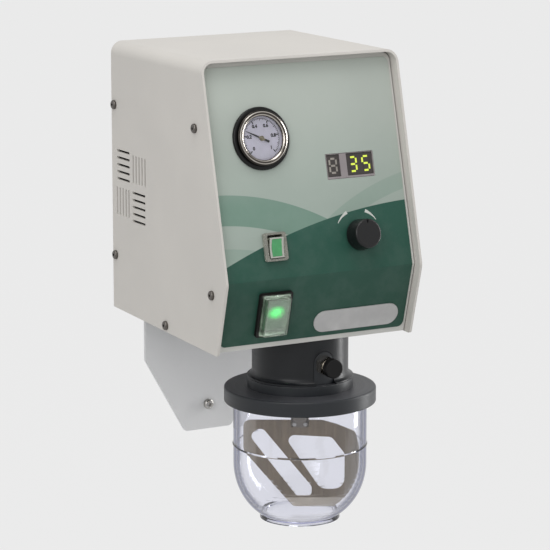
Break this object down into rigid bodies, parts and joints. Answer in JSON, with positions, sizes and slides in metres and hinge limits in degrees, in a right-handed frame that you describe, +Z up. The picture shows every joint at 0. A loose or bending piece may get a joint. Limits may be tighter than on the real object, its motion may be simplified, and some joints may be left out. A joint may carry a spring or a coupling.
{
  "type": "dental impression mixer",
  "caption": "Wall-mounted vacuum mixer for dental impression material: sheet-metal housing, geared paddle drive and a clear bowl that pulls off below.",
  "frame": {"origin": "centre of the two upper wall holes, on the face of the wall plate that lies on the wall", "axes": "+Z up, +Y into the wall, +X to the right as seen from the front"},
  "size_m": [0.1828, 0.2085, 0.3837],
  "materials": {
    "cover_paint": "fine textured powder coat, warm off-white",
    "panel_paint": "satin powder coat, warm off-white",
    "foil_print": "printed polyester foil, pale green above, dark green below",
    "zinc_sheet": "zinc-plated sheet",
    "plate_steel": "satin light grey plate",
    "screw_steel": "bright zinc-plated screws",
    "neck_plastic": "turned dark grey acetal",
    "lid_plastic": "moulded dark blue-grey plastic",
    "gear_case": "cast aluminium",
    "motor_black": "black enamel",
    "bright_steel": "ground steel",
    "paddle_steel": "brushed stainless sheet",
    "seal_rubber": "black rubber",
    "seal_clear": "silicone",
    "bush_plastic": "acetal bush",
    "valve_nickel": "nickel-plated brass",
    "button_black": "moulded black",
    "bowl_clear": "clear polycarbonate",
    "gauge_black": "gloss black enamel",
    "gauge_chrome": "polished",
    "gauge_brass": "brass movement",
    "dial_white": "white dial with plain scale",
    "needle_black": "black needle",
    "gauge_glass": "clear lens",
    "display_grey": "satin grey bezel",
    "digit_dark": "dark digit module",
    "digit_lit": "dark digit module with lit bars",
    "board_green": "solder-masked board",
    "part_grey": "moulded component",
    "knob_black": "moulded black knob",
    "switch_black": "moulded black switch",
    "switch_clear": "clear soft cover",
    "rocker_green": "lit green rocker",
    "rocker_silver": "bright rocker rim",
    "plate_white": "bare raised plate",
    "hose_clear": "silicone hose"
  },
  "bodies": {
    "housing": {"cover": "cover_paint", "cover_screws": "screw_steel", "front_panel": "panel_paint", "panel_foil": "foil_print", "chassis": "zinc_sheet", "wall_plate": "plate_steel", "plate_spacers": "screw_steel", "plate_screws": "screw_steel", "tongue_screw": "screw_steel", "neck": "neck_plastic", "neck_screws": "screw_steel", "gearbox": "gear_case", "gearbox_screws": "screw_steel", "drive_motor": "motor_black", "motor_screws": "screw_steel", "spindle_bearing": "bright_steel", "gauge_case": "gauge_black", "gauge_clamp": "screw_steel", "gauge_movement": "gauge_brass", "gauge_bezel": "gauge_chrome", "gauge_dial": "dial_white", "gauge_lens": "gauge_glass", "display_frame": "display_grey", "digit_single": "digit_dark", "digit_pair": "digit_lit", "control_board": "board_green", "board_standoffs": "screw_steel", "encoder_body": "part_grey", "encoder_nut": "screw_steel", "vacuum_switch": "switch_black", "vacuum_switch_frame": "switch_clear", "main_switch": "switch_black", "main_switch_cover": "switch_clear", "name_plate": "plate_white", "pump_head": "motor_black", "pump_motor": "part_grey", "release_solenoid": "part_grey", "power_board": "board_green", "power_inlet": "switch_black", "vacuum_hoses": "hose_clear"},
    "spindle": {"spindle": "bright_steel"},
    "lid": {"lid": "lid_plastic", "lid_o_ring": "seal_rubber", "lid_seal": "seal_clear", "shaft_bush": "bush_plastic", "shaft_seal": "seal_rubber", "valve_body": "valve_nickel", "valve_spring": "bright_steel"},
    "bowl": {"bowl": "bowl_clear"},
    "paddle": {"paddle_shaft": "bright_steel", "paddle": "paddle_steel", "paddle_screws": "screw_steel"},
    "valve_button": {"valve_button": "button_black"},
    "gauge_needle": {"gauge_needle": "needle_black"},
    "knob_plunger": {"encoder_plunger": "bush_plastic"},
    "knob": {"encoder_shaft": "bright_steel", "setting_knob": "knob_black"},
    "vacuum_rocker": {"vacuum_rocker": "rocker_silver", "vacuum_lens": "rocker_green"},
    "main_rocker": {"main_rocker": "rocker_green"}
  },
  "joints": [
    {"name": "spindle_spin", "type": "hinge", "parent": "housing", "child": "spindle", "pos_m": [0.013, -0.1395, -0.2], "axis": [0, 0, 1], "continuous": true},
    {"name": "lid_release", "type": "slide", "parent": "housing", "child": "lid", "axis": [0, 0, -1], "range_m": [0, 0.06]},
    {"name": "bowl_release", "type": "slide", "parent": "lid", "child": "bowl", "axis": [0, 0, -1], "range_m": [0, 0.1]},
    {"name": "paddle_spin", "type": "hinge", "parent": "lid", "child": "paddle", "pos_m": [0.013, -0.1395, -0.26], "axis": [0, 0, 1], "continuous": true},
    {"name": "valve_press", "type": "slide", "parent": "lid", "child": "valve_button", "axis": [0, 1, 0], "range_m": [0, 0.0026], "stiffness_N_per_m": 900, "springref_m": -0.0015, "deforming": ["valve_spring"]},
    {"name": "needle_turn", "type": "hinge", "parent": "housing", "child": "gauge_needle", "pos_m": [-0.04, -0.17109, -0.02993], "axis": [0, -0.9694, 0.2456], "range_deg": [-199, 71]},
    {"name": "knob_push", "type": "slide", "parent": "housing", "child": "knob_plunger", "axis": [0, 0.9694, -0.2456], "range_m": [0, 0.0008], "stiffness_N_per_m": 4000, "springref_m": -0.001},
    {"name": "knob_turn", "type": "hinge", "parent": "knob_plunger", "child": "knob", "pos_m": [0.0377, -0.19436, -0.10955], "axis": [0, -0.9694, 0.2456], "continuous": true},
    {"name": "vacuum_rocker_tilt", "type": "hinge", "parent": "housing", "child": "vacuum_rocker", "pos_m": [-0.0394, -0.18916, -0.11345], "axis": [1, 0, 0], "range_deg": [-16, 0]},
    {"name": "main_rocker_tilt", "type": "hinge", "parent": "housing", "child": "main_rocker", "pos_m": [-0.0399, -0.1871, -0.1658], "axis": [1, 0, 0], "range_deg": [-16, 0]}
  ],
  "couplings": [
    {"joint": "paddle_spin", "follows": "spindle_spin", "ratio": 1}
  ]
}
